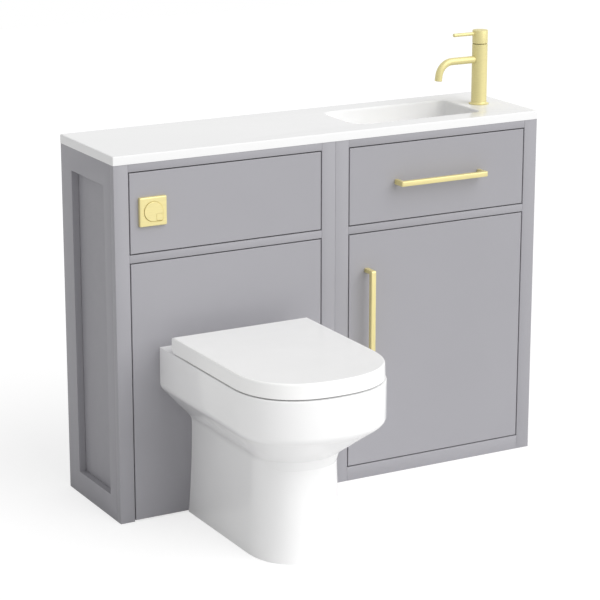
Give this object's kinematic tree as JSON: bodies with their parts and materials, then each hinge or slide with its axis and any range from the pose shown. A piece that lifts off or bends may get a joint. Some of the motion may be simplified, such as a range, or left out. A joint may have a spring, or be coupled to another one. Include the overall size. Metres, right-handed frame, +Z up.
{
  "type": "toilet and basin combination unit",
  "caption": "Freestanding vanity run with a back-to-wall toilet, hidden cistern, inset basin, mixer tap, drawer and hinged door.",
  "frame": {"origin": "centre of the bounding box's footprint, on the floor", "axes": "+X along the cabinets to the viewer's right, +Y towards the wall, +Z up; the toilet projects towards -Y"},
  "size_m": [1.102, 0.795, 1.018],
  "materials": {
    "front": "matt light grey lacquer on fibreboard",
    "carcass": "grey faced board",
    "drawer": "white faced board",
    "worktop": "white cast mineral, gloss",
    "ware": "white glaze",
    "seat_plastic": "white gloss",
    "brass": "brushed pale brass",
    "tap_metal": "brushed pale brass",
    "steel": "nickel plated",
    "pipe": "white plastic",
    "cistern": "white plastic",
    "rubber": "black rubber"
  },
  "bodies": {
    "unit": {"wc_side_board": "carcass", "wc_end_frame": "front", "inner_boards": "carcass", "wall_rails": "carcass", "wc_stiles": "front", "wc_rails": "front", "access_panel": "front", "wc_lower_panel": "front", "panel_blocks": "carcass", "basin_side_board": "carcass", "basin_end_frame": "front", "basin_base_board": "carcass", "basin_back_panel": "carcass", "basin_stiles": "front", "basin_rails": "front", "hinge_arms": "steel", "runner_packer": "carcass", "fixed_runners": "steel", "basin_worktop": "worktop", "waste_flange": "tap_metal", "waste_backnut": "steel", "bottle_trap": "pipe", "trap_outlet": "pipe", "tap_body": "tap_metal", "tap_aerator": "steel", "tap_cartridge": "pipe", "tap_fixing": "steel", "pan": "ware", "seat_hinge_posts": "steel", "seat_hinge_pins": "steel", "pan_connector": "pipe", "flush_cone": "rubber", "cistern_tank": "cistern", "cistern_lid": "cistern", "flush_pipe": "pipe", "flush_valve": "pipe", "fill_valve": "pipe", "flush_plate": "brass", "button_housing": "pipe", "air_hoses": "pipe"},
    "door": {"door": "front", "door_handle": "brass", "hinge_cups": "steel", "hinge_pins": "steel"},
    "drawer": {"drawer_front": "front", "drawer_box": "drawer", "drawer_base": "drawer", "drawer_handle": "brass", "sliding_runners": "steel"},
    "seat": {"seat": "seat_plastic", "seat_buffers": "rubber"},
    "lid": {"lid": "seat_plastic", "lid_buffers": "rubber"},
    "full_flush_button": {"full_flush_button": "brass"},
    "half_flush_button": {"half_flush_button": "brass"},
    "tap_spindle": {"tap_spindle": "steel"},
    "tap_lever": {"tap_lever": "tap_metal"},
    "waste_plug": {"waste_plug": "tap_metal"},
    "fill_float": {"fill_float": "pipe"},
    "flush_lifter": {"flush_lifter": "rubber"}
  },
  "joints": [
    {"name": "door_hinge", "type": "hinge", "parent": "unit", "child": "door", "pos_m": [0.4885, 0.1225, 0.3165], "axis": [0, 0, 1], "range_deg": [0, 100]},
    {"name": "drawer_slide", "type": "slide", "parent": "unit", "child": "drawer", "axis": [0, -1, 0], "range_m": [0, 0.17]},
    {"name": "seat_hinge", "type": "hinge", "parent": "unit", "child": "seat", "pos_m": [-0.275, 0.0405, 0.417], "axis": [-1, 0, 0], "range_deg": [0, 95]},
    {"name": "lid_hinge", "type": "hinge", "parent": "seat", "child": "lid", "pos_m": [-0.275, 0.0405, 0.417], "axis": [1, 0, 0], "range_deg": [-95, 0]},
    {"name": "full_flush_press", "type": "slide", "parent": "unit", "child": "full_flush_button", "axis": [0, 1, 0], "range_m": [0, 0.005], "stiffness_N_per_m": 800, "springref_m": -0.002},
    {"name": "half_flush_press", "type": "slide", "parent": "unit", "child": "half_flush_button", "axis": [0, 1, 0], "range_m": [0, 0.005], "stiffness_N_per_m": 800, "springref_m": -0.002},
    {"name": "tap_temperature", "type": "hinge", "parent": "unit", "child": "tap_spindle", "pos_m": [0.478, 0.255, 0.985], "axis": [0, 0, 1], "range_deg": [-45, 45]},
    {"name": "tap_flow", "type": "hinge", "parent": "tap_spindle", "child": "tap_lever", "pos_m": [0.491, 0.255, 0.9905], "axis": [0, 1, 0], "range_deg": [0, 20]},
    {"name": "plug_rise", "type": "slide", "parent": "unit", "child": "waste_plug", "axis": [0, 0, 1], "range_m": [0, 0.009]},
    {"name": "float_rise", "type": "slide", "parent": "unit", "child": "fill_float", "axis": [0, 0, 1], "range_m": [0, 0.06]},
    {"name": "flush_valve_lift", "type": "slide", "parent": "unit", "child": "flush_lifter", "axis": [0, 0, 1], "range_m": [0, 0.02]}
  ]
}
